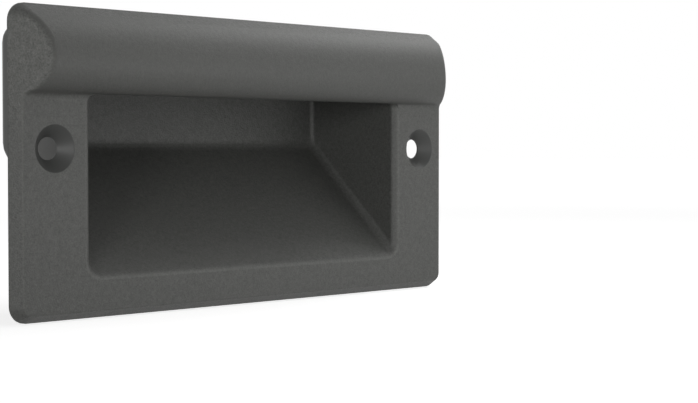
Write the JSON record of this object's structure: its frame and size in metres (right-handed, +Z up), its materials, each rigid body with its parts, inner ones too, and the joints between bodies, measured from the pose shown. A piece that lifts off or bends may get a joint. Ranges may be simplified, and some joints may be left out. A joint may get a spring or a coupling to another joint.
{
  "type": "shell handle",
  "caption": "Recessed flush-mount pull handle moulded in one piece, with a rounded hood over the opening, a sloping finger ramp and countersunk screw holes at both sides.",
  "frame": {"origin": "midway between the two screw holes, on the rear face of the flange, which is the panel's face", "axes": "+X along the line through the two screw holes, to the right as seen from the front; +Y into the panel; +Z up, towards the hood"},
  "size_m": [0.154, 0.0417, 0.075],
  "materials": {
    "body": "fine matt spark-eroded grain, dark anthracite grey"
  },
  "bodies": {
    "root": {"shell_handle": "body"}
  },
  "joints": []
}
